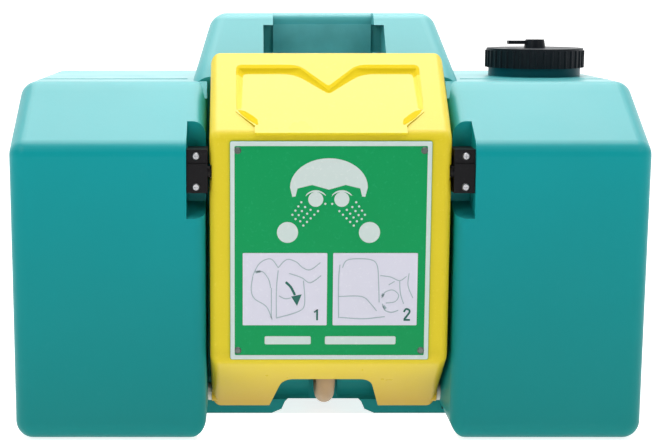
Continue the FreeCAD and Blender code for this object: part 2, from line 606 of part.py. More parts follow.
def panel_prism(label, lap, low, high):
    """A slab over the M-shaped panel on the cover's slope, between two heights off its plane."""
    run = "(cover_back_y - cover_front_y)"
    rise = "(cover_top_z - cover_bend_top_z)"
    lean = "atan(%s / %s)" % (rise, run)
    half = "panel_half + %s" % lap
    waist = "panel_waist_half + %s" % lap
    top = "panel_top_along - panel_turn_along + %s" % lap
    vee = "panel_vee_along - panel_turn_along + %s" % lap
    side = "panel_side_along - panel_turn_along"
    neck = "panel_waist_along - panel_turn_along"
    foot = "panel_low_along - panel_turn_along"
    points = [("-(%s)" % waist, foot), (waist, foot), (waist, neck), (half, side), (half, top),
              ("panel_vee_half", top), ("0.5", vee), ("-panel_vee_half", top),
              ("-(%s)" % half, top), ("-(%s)" % half, side), ("-(%s)" % waist, neck)]
    body = doc.addObject("PartDesign::Body", label)
    sk = outline(body, label + "_plan", "XY_Plane", points, low)
    pad(body, label + "_pad", sk, "(%s) - (%s)" % (high, low))
    body.Placement = Placement(Vector(0, 0, 0), Rotation(Vector(1, 0, 0), 40.0))
    body.setExpression("Placement.Rotation.Angle", ex(lean + " - panel_tilt_deg * 1deg"))
    body.setExpression("Placement.Base.y", ex(back("cover_front_y + panel_turn_along * cos(%s)" % lean)))
    body.setExpression("Placement.Base.z", ex("cover_bend_top_z + panel_turn_along * sin(%s)" % lean))
    return body


plain_cover = cut("cover_plain", cover_solid("cover_form", "0", "0"),
                  cover_solid("cover_space", "cover_thick", "20"))
cover_skin = cut("cover_skin",
                 fuse("cover_panelled", plain_cover,
                      panel_prism("panel_fill", "panel_lap", "-panel_back", "0")),
                 panel_prism("panel_way", "0", "0", "20"))

mouth = doc.addObject("PartDesign::Body", "mouth_cut")
pts = [("-mouth_low_half", "-10"), ("mouth_low_half", "-10"), ("mouth_low_half", "cover_low_z"),
       ("mouth_top_half", "mouth_z"), ("-mouth_top_half", "mouth_z"), ("-mouth_low_half", "cover_low_z")]
sk = outline(mouth, "mouth_front", "XZ_Plane", pts, "-(%s)" % back("cover_back_y + 10"))
pad(mouth, "mouth_pad", sk, "cover_back_y + 30")
round_edges(mouth, "mouth_corners", "mouth_r",
            lambda e: near(ends(e)[0].z, v["mouth_z"]) and not near(ends(e)[0].y, ends(e)[1].y))

cover_bosses = []
cover_cuts = [mouth]
for side, sign in (("left", "-"), ("right", "")):
    low = "cover_half - cover_boss_length" if sign == "" else "-cover_half"
    high = "cover_half" if sign == "" else "-cover_half + cover_boss_length"
    cover_bosses.append(cyl("cover_boss_" + side, "cover_boss_r", low, high, "x", "pivot_y", "pivot_z"))
    cover_cuts.append(cyl("cover_drill_" + side, "bush_r", low + " - 5", high + " + 5", "x",
                          "pivot_y", "pivot_z"))
    lip = "groove_floor_x" if sign == "" else "-cover_half - 5"
    lip_end = "cover_half + 5" if sign == "" else "-groove_floor_x"
    reach = "sqrt((pivot_y - plunger_y) * (pivot_y - plunger_y)" \
            " + (plunger_z - pivot_z) * (plunger_z - pivot_z))"
    ring = cut("groove_ring_" + side,
               cyl("groove_big_" + side, reach + " + groove_band", lip, lip_end, "x",
                   "pivot_y", "pivot_z"),
               cyl("groove_small_" + side, reach + " - groove_band", lip + " - 1", lip_end + " + 1",
                   "x", "pivot_y", "pivot_z"))
    cover_cuts.append(ring)
    for level in ("low", "top"):
        cover_cuts.append(cyl("rivet_drill_%s_%s" % (side, level), "rivet_r", "-5",
                              "cover_front_y + 10", "y", sign + "(sign_half - rivet_inset_x)",
                              "sign_low_z + rivet_inset_z" if level == "low"
                              else "sign_top_z - rivet_inset_z"))
cover = cut("cover_shell", fuse("cover_bossed", cover_skin, *cover_bosses), *cover_cuts)

# sign plate and rivets
sign_body = doc.addObject("PartDesign::Body", "sign_form")
pts = [("-sign_half", "sign_low_z"), ("sign_half", "sign_low_z"), ("sign_half", "sign_top_z"),
       ("-sign_half", "sign_top_z")]
sk = outline(sign_body, "sign_front", "XZ_Plane", pts, "-(%s)" % back("cover_front_y"))
pad(sign_body, "sign_pad", sk, "sign_thick")
round_edges(sign_body, "sign_corners", "sign_corner_r",
            lambda e: near(e.Vertexes[0].X, e.Vertexes[-1].X) and near(e.Vertexes[0].Z, e.Vertexes[-1].Z))
sign_cuts = []
rivets = []
for side, sign in (("left", "-"), ("right", "")):
    for level in ("low", "top"):
        tag = side + "_" + level
        at_x = sign + "(sign_half - rivet_inset_x)"
        at_z = "sign_low_z + rivet_inset_z" if level == "low" else "sign_top_z - rivet_inset_z"
        front = "cover_front_y - sign_thick"
        rear = "cover_front_y + cover_thick"
        sign_cuts.append(cyl("sign_drill_" + tag, "rivet_r", "-5", "20", "y", at_x, at_z))
        shank = cyl("rivet_shank_" + tag, "rivet_r", front, rear, "y", at_x, at_z)
        head = cone("rivet_head_" + tag, "rivet_head_r - 0.9", "rivet_head_r",
                    front + " - rivet_head_thick", front, "y", at_x, at_z)
        tail = cyl("rivet_tail_" + tag, "rivet_head_r", rear, rear + " + rivet_tail_thick", "y",
                   at_x, at_z)
        rivets.append(fuse("rivet_" + tag, shank, head, tail))
sign_plate = cut("sign_plate", sign_body, *sign_cuts)
sign_rivets = group("sign_rivets", *rivets)
doc.recompute()

# --- hinge ------------------------------------------------------------------
pins = []
pin_inserts = []
bushes = []
washers = []
for side, sign in (("left", "-"), ("right", "")):
    def span(a, b):
        """From a to b on the right, mirrored on the left."""
        return (a, b) if sign == "" else ("-(%s)" % b, "-(%s)" % a)
    head_start = "cover_half - cover_boss_length - 0.4 - pin_head_thick"
    shank = cyl("pin_shank_" + side, "pin_r", *span(head_start, "recess_half + hinge_insert_length - 1"),
                "x", "pivot_y", "pivot_z")
    head = cyl("pin_head_" + side, "pin_head_r", *span(head_start, head_start + " + pin_head_thick"),
               "x", "pivot_y", "pivot_z")
    pins.append(fuse("hinge_pin_" + side, shank, head))
    sleeve = cyl("insert_sleeve_" + side, "hinge_insert_r",
                 *span("recess_half", "recess_half + hinge_insert_length"), "x", "pivot_y", "pivot_z")
    hole = cyl("insert_hole_" + side, "pin_r",
               *span("recess_half - 2", "recess_half + hinge_insert_length - 1"), "x",
               "pivot_y", "pivot_z")
    pin_inserts.append(cut("hinge_insert_" + side, sleeve, hole))
    tube = cyl("bush_tube_" + side, "bush_r", *span("cover_half - cover_boss_length", "cover_half"),
               "x", "pivot_y", "pivot_z")
    bore = cyl("bush_bore_" + side, "pin_r + pin_clear",
               *span("cover_half - cover_boss_length - 1", "cover_half + 1"), "x", "pivot_y", "pivot_z")
    bushes.append(cut("hinge_bush_" + side, tube, bore))
    disc = cyl("washer_disc_" + side, "washer_r", *span("cover_half + washer_gap", "recess_half"),
               "x", "pivot_y", "pivot_z")
    bore = cyl("washer_bore_" + side, "pin_r + pin_clear", *span("cover_half", "recess_half + 1"),
               "x", "pivot_y", "pivot_z")
    washers.append(cut("hinge_washer_" + side, disc, bore))
hinge_pins = group("hinge_pins", *pins)
hinge_inserts = group("hinge_inserts", *pin_inserts)
hinge_bushes = group("hinge_bushes", *bushes)
hinge_washers = group("hinge_washers", *washers)

# --- sprung catches ---------------------------------------------------------
screws = []
inserts = []
catch_nodes = []
for side, sign in (("left", "-"), ("right", "")):
    def span(a, b):
        return (a, b) if sign == "" else ("-(%s)" % b, "-(%s)" % a)
    block = box("catch_block_" + side, *span("catch_inner_x", "catch_outer_x"), "catch_front_y",
                "notch_back_y", "catch_low_z", "catch_top_z")
    step = box("catch_step_" + side, *span("catch_inner_x - 1", "catch_outer_x + 1"), "-5",
               "catch_front_y + catch_step", "catch_step_z", "catch_top_z + 1")
    bore = cyl("catch_bore_" + side, "plunger_r + plunger_clear",
               *span("catch_inner_x - 2", "plunger_bore_x"), "x", "plunger_y", "plunger_z")
    tools = [step, bore]
    for level in ("low", "top"):
        tag = side + "_" + level
        at_x = sign + "catch_screw_x"
        at_z = "catch_screw_%s_z" % level
        seat = "catch_front_y" if level == "low" else "catch_front_y + catch_step"
        tools.append(cyl("catch_way_" + tag, "catch_screw_r + 0.1", "-5", "notch_back_y + 5", "y",
                         at_x, at_z))
        shank = cyl("screw_shank_" + tag, "catch_screw_r", seat, "catch_screw_end_y", "y", at_x, at_z)
        head = cone("screw_head_" + tag, "catch_screw_head_r - 0.9", "catch_screw_head_r",
                    seat + " - catch_screw_head_thick", seat, "y", at_x, at_z)
        slot_a = box("screw_slot_a_" + tag, at_x + " - 0.35", at_x + " + 0.35", seat + " - 5",
                     seat + " - 0.7", at_z + " - 1.8", at_z + " + 1.8")
        slot_b = box("screw_slot_b_" + tag, at_x + " - 1.8", at_x + " + 1.8", seat + " - 5",
                     seat + " - 0.7", at_z + " - 0.35", at_z + " + 0.35")
        screws.append(cut("catch_screw_" + tag, fuse("screw_blank_" + tag, shank, head), slot_a, slot_b))
        sleeve = cyl("catch_insert_blank_" + tag, "catch_insert_r", "notch_back_y",
                     "notch_back_y + catch_insert_length", "y", at_x, at_z)
        hole = cyl("catch_insert_hole_" + tag, "catch_screw_r", "notch_back_y - 2",
                   "catch_screw_end_y", "y", at_x, at_z)
        inserts.append(cut("catch_insert_" + tag, sleeve, hole))
    catch_nodes.append(cut(side + "_catch_housing", block, *tools))
    rod = cyl("plunger_rod_" + side, "plunger_r",
              *span("plunger_tip_x + 1.5", "plunger_tail_x"), "x", "plunger_y", "plunger_z")
    first, last = span("plunger_tip_x", "plunger_tip_x + 1.5")
    small, big = ("plunger_r - 1.2", "plunger_r") if sign == "" else ("plunger_r", "plunger_r - 1.2")
    nose = cone("plunger_nose_" + side, small, big, first, last, "x", "plunger_y", "plunger_z")
    catch_nodes.append(fuse(side + "_plunger", rod, nose))
catch_screws = group("catch_screws", *screws)
catch_inserts = group("catch_inserts", *inserts)
doc.recompute()


def set_shape(label, shape):
    obj = doc.addObject("Part::Feature", label)
    obj.Shape = shape
    return obj


def coil(label, start, end, r, wire_r, turns, y, z):
    """A compression spring along X: round wire in short runs, clear of both seats."""
    room = end - start - 2 * wire_r
    steps = int(turns * v["catch_spring_steps"])
    spots = []
    for i in range(steps + 1):
        turn = 2 * math.pi * turns * i / steps
        spots.append(Vector(start + wire_r + room * i / steps, y - HALF_DEPTH + r * math.cos(turn),
                            z + r * math.sin(turn)))
    profile = Part.Wire([Part.makeCircle(wire_r, spots[0], spots[1] - spots[0])])
    return set_shape(label, Part.makePolygon(spots).makePipeShell([profile], True, False, 1))


springs = []
coil_start = v["plunger_tail_x"] + 0.05
coil_end = v["plunger_bore_x"] - 0.05
springs.append(coil("right_catch_spring", coil_start, coil_end, v["catch_spring_r"],
                    v["catch_spring_wire_r"], v["catch_spring_turns"], v["plunger_y"], v["plunger_z"]))
springs.append(coil("left_catch_spring", -coil_end, -coil_start, v["catch_spring_r"],
                    v["catch_spring_wire_r"], v["catch_spring_turns"], v["plunger_y"], v["plunger_z"]))

# --- outlet and hose --------------------------------------------------------
OUT_SEAT = "channel_z - outlet_gasket_thick"
outlet = cut("outlet_fitting",
             fuse("outlet_blank",
                  cyl("outlet_flange", "outlet_flange_r", OUT_SEAT + " - outlet_flange_thick", OUT_SEAT,
                      "z", "0", "outlet_y"),
                  cyl("outlet_thread", "outlet_thread_r", OUT_SEAT + " - 1",
                      "channel_z + wall_thick + outlet_rise", "z", "0", "outlet_y"),
                  cyl("outlet_barb", "hose_bore_r", "outlet_barb_low_z + 2", OUT_SEAT, "z",
                      "0", "outlet_y")),
             cyl("outlet_bore", "outlet_bore_r", "outlet_barb_low_z - 5", "channel_z + 60", "z",
                 "0", "outlet_y"))
outlet_gasket = cut("outlet_gasket",
                    cyl("outlet_gasket_disc", "outlet_flange_r", OUT_SEAT, "channel_z", "z",
                        "0", "outlet_y"),
                    cyl("outlet_gasket_hole", "outlet_thread_r", "channel_z - 10", "channel_z + 10", "z",
                        "0", "outlet_y"))


def hex_nut(label, r, bore, start, end, axis, a, b):
    obj = doc.addObject("Part::Prism", label + "_hex")
    obj.Polygon = 6
    bind(obj, Circumradius=r, Height="(%s) - (%s)" % (end, start))
    where = {"y": (a, back(start), b), "z": (a, back(b), start)}[axis]
    place(obj, *where, *TURN[axis])
    return cut(label, obj, cyl(label + "_bore", bore, start + " - 1", end + " + 1", axis, a, b))


outlet_nut = hex_nut("outlet_nut", "outlet_nut_r", "outlet_thread_r", "channel_z + wall_thick",
                     "channel_z + wall_thick + outlet_nut_thick", "z", "0", "outlet_y")


def hose_clamp(label, y, z0, lug_dir):
    ring = cyl(label + "_band", "hose_r + clamp_thick", z0, z0 + " + clamp_width", "z", "0", y)
    lug = box(label + "_lug", "-clamp_lug / 2", "clamp_lug / 2",
              y + (" + hose_r" if lug_dir > 0 else " - hose_r - clamp_thick - 2"),
              y + (" + hose_r + clamp_thick + 2" if lug_dir > 0 else " - hose_r"),
              z0 + " + 1", z0 + " + clamp_width - 1")
    hole = cyl(label + "_hole", "hose_r", z0 + " - 1", z0 + " + clamp_width + 1", "z", "0", y)
    return cut(label, fuse(label + "_blank", ring, lug), hole)


outlet_clamp = hose_clamp("outlet_clamp", "outlet_y", "hose_bend_z", 1)
manifold_clamp = hose_clamp("manifold_clamp", "manifold_y", "hose_end_z - clamp_width - 2", 1)

start = Vector(0, v["outlet_y"] - HALF_DEPTH, v["hose_start_z"])
turn_top = Vector(0, start.y, v["hose_bend_z"])
turn_low = Vector(0, start.y - v["hose_bend_r"], v["hose_bend_z"] - v["hose_bend_r"])
turn_end = Vector(0, start.y - 2 * v["hose_bend_r"], v["hose_bend_z"])
rise_low = Vector(0, v["manifold_y"] - HALF_DEPTH, v["hose_end_z"] - 28)
rise_top = Vector(0, rise_low.y, v["hose_end_z"])
sway = Part.BSplineCurve()
sway.interpolate(Points=[turn_end, rise_low], InitialTangent=Vector(0, 0, 130),
                 FinalTangent=Vector(0, 0, 130))
route = Part.Wire([Part.LineSegment(start, turn_top).toShape(),
                   Part.Arc(turn_top, turn_low, turn_end).toShape(), sway.toShape(),
                   Part.LineSegment(rise_low, rise_top).toShape()])
tubes = []
for r in (v["hose_r"], v["hose_bore_r"]):
    ring = Part.Wire([Part.makeCircle(r, start, Vector(0, 0, -1))])
    tubes.append(route.makePipeShell([ring], True, False))
hose = set_shape("supply_hose", tubes[0].cut(tubes[1]))

# --- spray heads ------------------------------------------------------------
run = cyl("manifold_run", "manifold_r", "-manifold_half", "manifold_half", "x", "manifold_y",
          "manifold_z")
stub = cyl("manifold_stub_tube", "hose_bore_r", "manifold_z - manifold_stub", "manifold_z", "z",
           "0", "manifold_y")
run_bore = cyl("manifold_run_bore", "manifold_bore_r", "-manifold_half + 3", "manifold_half - 3", "x",
               "manifold_y", "manifold_z")
stub_bore = cyl("manifold_stub_bore", "outlet_bore_r", "manifold_z - manifold_stub - 1", "manifold_z",
                "z", "0", "manifold_y")
ports = []
heads = []
faces_made = []
screens = []
nuts = []
for side, sign in (("left", "-"), ("right", "")):
    at_x = sign + "head_x"
    ports.append(cyl("port_" + side, "head_stem_r", "manifold_y", "manifold_y + 20", "y", at_x,
                     "manifold_z"))
    stem = cyl("head_stem_" + side, "head_stem_r", "manifold_y + manifold_r * 0.25",
               "head_stem_end_y", "y", at_x, "manifold_z")
    bell = cone("head_bell_" + side, "head_stem_r + 2", "head_bell_r", "head_stem_end_y",
                "head_bell_end_y", "y", at_x, "manifold_z")
    rim = cyl("head_rim_" + side, "head_bell_r", "head_bell_end_y",
              "head_bell_end_y + head_face_thick", "y", at_x, "manifold_z")
    bore = cyl("head_bore_" + side, "outlet_bore_r", "manifold_y", "head_bell_end_y", "y", at_x,
               "manifold_z")
    cup = cone("head_cup_" + side, "head_stem_r", "head_bell_r - head_wall", "head_stem_end_y + 1",
               "head_bell_end_y", "y", at_x, "manifold_z")
    well = cyl("head_well_" + side, "head_bell_r - head_wall", "head_bell_end_y - 0.01",
               "head_bell_end_y + 10", "y", at_x, "manifold_z")
    heads.append(cut(side + "_spray_head", fuse("head_blank_" + side, stem, bell, rim), bore, cup, well))
    plate = cyl("face_plate_" + side, "head_bell_r - head_wall", "head_bell_end_y",
                "head_bell_end_y + head_face_thick", "y", at_x, "manifold_z")
    holes = []
    for i in range(int(v["head_hole_count"])):
        turn = "360 * %d / head_hole_count" % i
        holes.append(cyl("face_hole_%s_%d" % (side, i), "head_hole_r", "head_bell_end_y - 1",
                         "head_bell_end_y + head_face_thick + 1", "y",
                         at_x + " + head_hole_ring_r * cos(%s)" % turn,
                         "manifold_z + head_hole_ring_r * sin(%s)" % turn))
    holes.append(cyl("face_hole_mid_" + side, "head_hole_r * 1.6", "head_bell_end_y - 1",
                     "head_bell_end_y + head_face_thick + 1", "y", at_x, "manifold_z"))
    faces_made.append(cut("spray_face_" + side, plate, *holes))
    screens.append(cyl("screen_" + side, "head_bell_r - head_wall - 1.6",
                       "head_bell_end_y - head_screen_thick - 0.4", "head_bell_end_y - 0.4", "y",
                       at_x, "manifold_z"))
    nuts.append(hex_nut("head_nut_" + side, "head_nut_r", "head_stem_r",
                        "manifold_y + manifold_r + 1.5", "manifold_y + manifold_r + 1.5 + head_nut_thick",
                        "y", at_x, "manifold_z"))
manifold = cut("manifold", fuse("manifold_blank", run, stub), run_bore, stub_bore, *ports)
spray_faces = group("spray_faces", *faces_made)
head_screens = group("head_screens", *screens)
head_nuts = group("head_nuts", *nuts)
clips = []
for side, sign in (("left", "-"), ("right", "")):
    mid = sign + "clip_x"
    block = box("clip_block_" + side, mid + " - clip_width / 2", mid + " + clip_width / 2",
                "cover_front_y + cover_thick", "manifold_y + 3", "manifold_z - clip_half_height",
                "manifold_z + clip_half_height")
    way = cyl("clip_way_" + side, "manifold_r", mid + " - 20", mid + " + 20", "x", "manifold_y",
              "manifold_z")
    clips.append(cut("manifold_clip_" + side, block, way))
manifold_clips = group("manifold_clips", *clips)

wall_inserts_made = []
for side, sign in (("left", "-"), ("right", "")):
    for level in ("low", "top"):
        tag = side + "_" + level
        sleeve = cyl("wall_sleeve_" + tag, "wall_insert_r", "overall_depth - wall_insert_length",
                     "overall_depth", "y", sign + "wall_insert_x", "wall_insert_%s_z" % level)
        hole = cyl("wall_hole_" + tag, "wall_insert_bore_r", "overall_depth - wall_insert_bore_depth",
                   "overall_depth + 2", "y", sign + "wall_insert_x", "wall_insert_%s_z" % level)
        wall_inserts_made.append(cut("wall_insert_" + tag, sleeve, hole))
wall_inserts = group("wall_inserts", *wall_inserts_made)
doc.recompute()

NODES = [tank, neck, grip, gasket, cap, knob, collar, cover, sign_plate, sign_rivets, hinge_pins,
         hinge_inserts, hinge_bushes, hinge_washers, catch_screws, catch_inserts, outlet,
         outlet_gasket, outlet_nut, outlet_clamp, manifold_clamp, hose, manifold, spray_faces,
         head_screens, head_nuts, manifold_clips, wall_inserts]
NODES += catch_nodes + springs + heads

sheet.clear("D1")
doc.recompute()
bad = []
for obj in doc.Objects:
    state = getattr(obj, "State", [])
    if "Invalid" in state or "Error" in state:
        bad.append(obj.Name + " state " + ",".join(state))
    shape = getattr(obj, "Shape", None)
    if shape is not None and obj.TypeId != "Sketcher::SketchObject" and obj.TypeId.startswith("Part"):
        if shape.isNull() or not shape.isValid():
            bad.append(obj.Name + " shape")
if bad:
    raise RuntimeError("bad objects: " + "; ".join(bad))

os.makedirs("parts", exist_ok=True)
for node in NODES:
    solids = node.Shape.Solids
    print("%-22s solids %d  volume %.0f" % (node.Label, len(solids), node.Shape.Volume))
    node.Shape.exportStep("parts/%s.step" % node.Label)
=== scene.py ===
import math

import bmesh
import bpy
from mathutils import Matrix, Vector


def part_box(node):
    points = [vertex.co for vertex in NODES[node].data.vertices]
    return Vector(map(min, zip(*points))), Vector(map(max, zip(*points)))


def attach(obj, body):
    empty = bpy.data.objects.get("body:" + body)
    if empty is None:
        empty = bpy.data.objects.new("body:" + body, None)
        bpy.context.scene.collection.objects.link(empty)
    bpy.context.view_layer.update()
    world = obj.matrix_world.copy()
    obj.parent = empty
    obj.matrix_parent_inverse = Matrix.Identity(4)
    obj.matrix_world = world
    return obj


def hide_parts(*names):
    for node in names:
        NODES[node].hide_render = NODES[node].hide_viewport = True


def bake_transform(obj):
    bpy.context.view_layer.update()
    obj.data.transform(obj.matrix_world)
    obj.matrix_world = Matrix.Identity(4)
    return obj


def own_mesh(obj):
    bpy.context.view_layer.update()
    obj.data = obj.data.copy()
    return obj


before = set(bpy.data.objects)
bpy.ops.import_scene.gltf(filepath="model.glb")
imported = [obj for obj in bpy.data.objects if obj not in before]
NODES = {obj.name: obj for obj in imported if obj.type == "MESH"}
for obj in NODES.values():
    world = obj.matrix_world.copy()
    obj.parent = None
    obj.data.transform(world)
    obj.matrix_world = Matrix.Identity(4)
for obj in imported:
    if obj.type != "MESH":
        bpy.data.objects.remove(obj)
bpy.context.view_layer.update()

# ---------------------------------------------------------------- camera and light
DEPTH = 0.290


def at(x, back, z):
    """Millimetres from the middle, behind the lobes' front plane and above the base."""
    return Vector((x / 1000.0, back / 1000.0 - DEPTH / 2, z / 1000.0))


cam_data = bpy.data.cameras.new("camera")
cam_data.sensor_width = 36.0
cam_data.lens = 76.2
cam_data.shift_x = 0.126
cam = bpy.data.objects.new("camera", cam_data)
cam.location = at(-72, -1144.4, 375)
cam.rotation_euler = (math.radians(90 - 9.03), 0, 0)
bpy.context.scene.collection.objects.link(cam)
bpy.context.scene.camera = cam
bpy.context.scene.view_settings.view_transform = "Standard"


def area_light(name, where, look, size, power):
    """A soft rectangular light at one spot, aimed at another; metres and watts."""
    data = bpy.data.lights.new(name, "AREA")
    data.shape = "RECTANGLE"
    data.size, data.size_y = size
    data.energy = power
    obj = bpy.data.objects.new(name, data)
    obj.location = where
    obj.rotation_euler = (Vector(look) - Vector(where)).to_track_quat("-Z", "Y").to_euler()
    bpy.context.scene.collection.objects.link(obj)


area_light("overhead", (0, 0.25, 1.7), (0, 0.02, 0.2), (1.8, 1.5), 34)
area_light("front_left", (-1.5, -1.7, 1.7), (0, 0, 0.2), (0.9, 0.9), 12)
area_light("front_right", (1.6, -1.7, 1.5), (0, 0, 0.2), (0.9, 0.9), 9)

# the surroundings: dim in front of the object and white behind it
FRONT_GREY, BACK_WHITE, WORLD_STRENGTH = (0.09, 0.09, 0.10, 1), (1.0, 1.0, 1.0, 1), 1.45
world = bpy.data.worlds.new("studio")
bpy.context.scene.world = world
world.use_nodes = True
wt = world.node_tree
bg = wt.nodes["Background"]
coord = wt.nodes.new("ShaderNodeTexCoord")
split = wt.nodes.new("ShaderNodeSeparateXYZ")
ramp = wt.nodes.new("ShaderNodeValToRGB")
wt.links.new(coord.outputs["Generated"], split.inputs[0])
scale = wt.nodes.new("ShaderNodeMapRange")
scale.inputs["From Min"].default_value = -1.0
scale.inputs["From Max"].default_value = 1.0
wt.links.new(split.outputs["Y"], scale.inputs["Value"])
wt.links.new(scale.outputs["Result"], ramp.inputs["Fac"])
ramp.color_ramp.elements[0].position = 0.25
ramp.color_ramp.elements[0].color = FRONT_GREY
ramp.color_ramp.elements[1].position = 0.75
ramp.color_ramp.elements[1].color = BACK_WHITE
wt.links.new(ramp.outputs["Color"], bg.inputs["Color"])
bg.inputs["Strength"].default_value = WORLD_STRENGTH


# ---------------------------------------------------------------- material kit
MIX_A, MIX_B, MIX_RESULT = 6, 7, 2  # the Mix node's colour sockets


class Kit:
    """A small helper that adds nodes to one material and keeps the wiring short."""

    def __init__(self, name, rough=0.4, metal=0.0, ior=1.5, sheen=0.0):
        self.mat = bpy.data.materials.new(name)
        self.mat.use_nodes = True
        self.tree = self.mat.node_tree
        self.bsdf = self.tree.nodes["Principled BSDF"]
        self.bsdf.inputs["Roughness"].default_value = rough
        self.bsdf.inputs["Metallic"].default_value = metal
        self.bsdf.inputs["IOR"].default_value = ior
        self.bsdf.inputs["Sheen Weight"].default_value = sheen
        self.coord = self.tree.nodes.new("ShaderNodeTexCoord").outputs["Object"]

    def node(self, kind, **values):
        n = self.tree.nodes.new(kind)
        for key, value in values.items():
            setattr(n, key, value)
        return n

    def link(self, a, b):
        self.tree.links.new(a, b)

    def noise(self, scale, detail=2.0, rough=0.5, stretch=None):
        n = self.node("ShaderNodeTexNoise")
        n.inputs["Scale"].default_value = scale
        n.inputs["Detail"].default_value = detail
        n.inputs["Roughness"].default_value = rough
        source = self.coord
        if stretch is not None:
            m = self.node("ShaderNodeMapping")
            m.inputs["Scale"].default_value = stretch
            self.link(source, m.inputs["Vector"])
            source = m.outputs["Vector"]
        self.link(source, n.inputs["Vector"])
        return n.outputs["Fac"]

    def span(self, value, low, high, a=0.0, b=1.0):
        n = self.node("ShaderNodeMapRange")
        n.inputs["From Min"].default_value = low
        n.inputs["From Max"].default_value = high
        n.inputs["To Min"].default_value = a
        n.inputs["To Max"].default_value = b
        self.link(value, n.inputs["Value"])
        return n.outputs["Result"]

    def mix(self, fac, a, b):
        n = self.node("ShaderNodeMix", data_type="RGBA")
        self.link(fac, n.inputs[0])
        for socket, value in ((n.inputs[MIX_A], a), (n.inputs[MIX_B], b)):
            if isinstance(value, tuple):
                socket.default_value = value + (1.0,)
            else:
                self.link(value, socket)
        return n.outputs[MIX_RESULT]

    def colour(self, value):
        if isinstance(value, tuple):
            self.bsdf.inputs["Base Color"].default_value = value + (1.0,)
        else:
            self.link(value, self.bsdf.inputs["Base Color"])

    def rough(self, value):
        self.link(value, self.bsdf.inputs["Roughness"])

    def bump(self, layers):
        """layers: (height, strength, distance in metres), laid one over the other."""
        last = None
        for height, strength, distance in layers:
            b = self.node("ShaderNodeBump")
            b.inputs["Strength"].default_value = strength
            b.inputs["Distance"].default_value = distance
            self.link(height, b.inputs["Height"])
            if last is not None:
                self.link(last, b.inputs["Normal"])
            last = b.outputs["Normal"]
        self.link(last, self.bsdf.inputs["Normal"])

    def sheen_on_tops(self, low, high, weight, rough):
        """A clear gloss that only lies on the faces that look upward."""
        geo = self.node("ShaderNodeNewGeometry")
        axes = self.node("ShaderNodeSeparateXYZ")
        self.link(geo.outputs["True Normal"], axes.inputs[0])
        self.link(self.span(axes.outputs["Z"], low, high, 0.0, weight), self.bsdf.inputs["Coat Weight"])
        self.bsdf.inputs["Coat Roughness"].default_value = rough

    def position(self):
        """The object's own X, Y and Z, in metres."""
        n = self.node("ShaderNodeSeparateXYZ")
        self.link(self.coord, n.inputs[0])
        return n.outputs


def moulded(name, base, deep, pale, rough=0.36, peel=160.0, bump=(0.10, 0.22), low=None, tops=False):
    """Moulded plastic: slow colour drift, pale specks, orange peel, fine grain and rubbed patches.

    low paints shade on the piece towards its foot, and tops gives its upward faces a gloss.
    """
    k = Kit(name, rough, ior=1.22)
    drift = k.span(k.noise(5.0, 3.0), 0.3, 0.7)
    tone = k.mix(drift, base, deep)
    specks = k.span(k.noise(420.0, 1.0), 0.62, 0.78, 0.0, 0.22)
    tone = k.mix(specks, tone, pale)
    if low is not None:
        # painted shade: the tone darkens to the low colour towards the piece's foot
        tone = k.mix(k.span(k.position()["Z"], 0.015, 0.085, 1.0, 0.0), tone, low)
    k.colour(tone)
    if tops:
        k.sheen_on_tops(0.25, 0.80, 1.0, 0.42)
    rubbed = k.noise(28.0, 4.0, 0.6)
    k.rough(k.span(rubbed, 0.3, 0.75, rough - 0.07, rough + 0.08))
    k.bump([(k.noise(peel, 2.0), bump[0], 0.0006), (k.noise(1500.0, 1.0), bump[1], 0.00012)])
    return k.mat


def tank_material():
    """The tank's plastic: painted shade towards its foot, a painted highlight on top, with dust and fine
    scratches.
    """
    k = Kit("tank_polyethylene", 0.38, ior=1.2)
    drift = k.span(k.noise(4.0, 3.0), 0.3, 0.7)
    tone = k.mix(drift, (0.004, 0.315, 0.335), (0.004, 0.285, 0.300))
    xyz = k.position()
    # painted shade: the colour darkens towards the tank's foot, standing in for the shade low down
    low = k.span(xyz["Z"], 0.0, 0.28, 1.0, 0.0)
    tone = k.mix(low, tone, (0.005, 0.205, 0.195))
    # painted highlight: the colour pales on the top faces, standing in for the overhead light's sheen
    painted_top_light = k.span(xyz["Z"], 0.296, 0.325, 0.0, 0.65)
    tone = k.mix(painted_top_light, tone, (0.130, 0.430, 0.440))
    dust = k.span(k.noise(55.0, 6.0, 0.7), 0.60, 0.80, 0.0, 0.05)
    tone = k.mix(dust, tone, (0.10, 0.42, 0.43))
    # fine hair scratches, mostly upright
    hair = k.span(k.noise(60.0, 8.0, 0.7, (9.0, 9.0, 0.7)), 0.70, 0.76, 0.0, 0.06)
    tone = k.mix(hair, tone, (0.12, 0.45, 0.46))
    k.colour(tone)
    k.rough(k.span(k.noise(22.0, 4.0, 0.6), 0.3, 0.75, 0.30, 0.44))
    k.sheen_on_tops(0.25, 0.75, 0.9, 0.45)
    k.bump([(k.noise(26.0, 2.0), 0.10, 0.0012), (k.noise(170.0, 2.0), 0.12, 0.0005),
            (k.noise(1600.0, 1.0), 0.22, 0.00010)])
    return k.mat


def rubber(name, base, deep, rough=0.6):
    """Matt rubber or latex with a slow drift of tone."""
    k = Kit(name, rough, ior=1.25, sheen=0.05)
    k.colour(k.mix(k.span(k.noise(40.0, 4.0), 0.35, 0.65), base, deep))
    k.rough(k.span(k.noise(90.0, 3.0), 0.3, 0.7, rough - 0.08, rough + 0.08))
    k.bump([(k.noise(500.0, 2.0), 0.25, 0.0002), (k.noise(2200.0, 1.0), 0.2, 0.00006)])
    return k.mat


def metal(name, base, deep, rough=0.3):
    """Bare metal with fine drawn streaks."""
    k = Kit(name, rough, metal=1.0)
    streaks = k.noise(260.0, 4.0, 0.6, (1.0, 1.0, 30.0))
    k.colour(k.mix(k.span(streaks, 0.35, 0.65), base, deep))
    k.rough(k.span(streaks, 0.3, 0.7, rough - 0.08, rough + 0.12))
    k.bump([(streaks, 0.15, 0.00005)])
    return k.mat


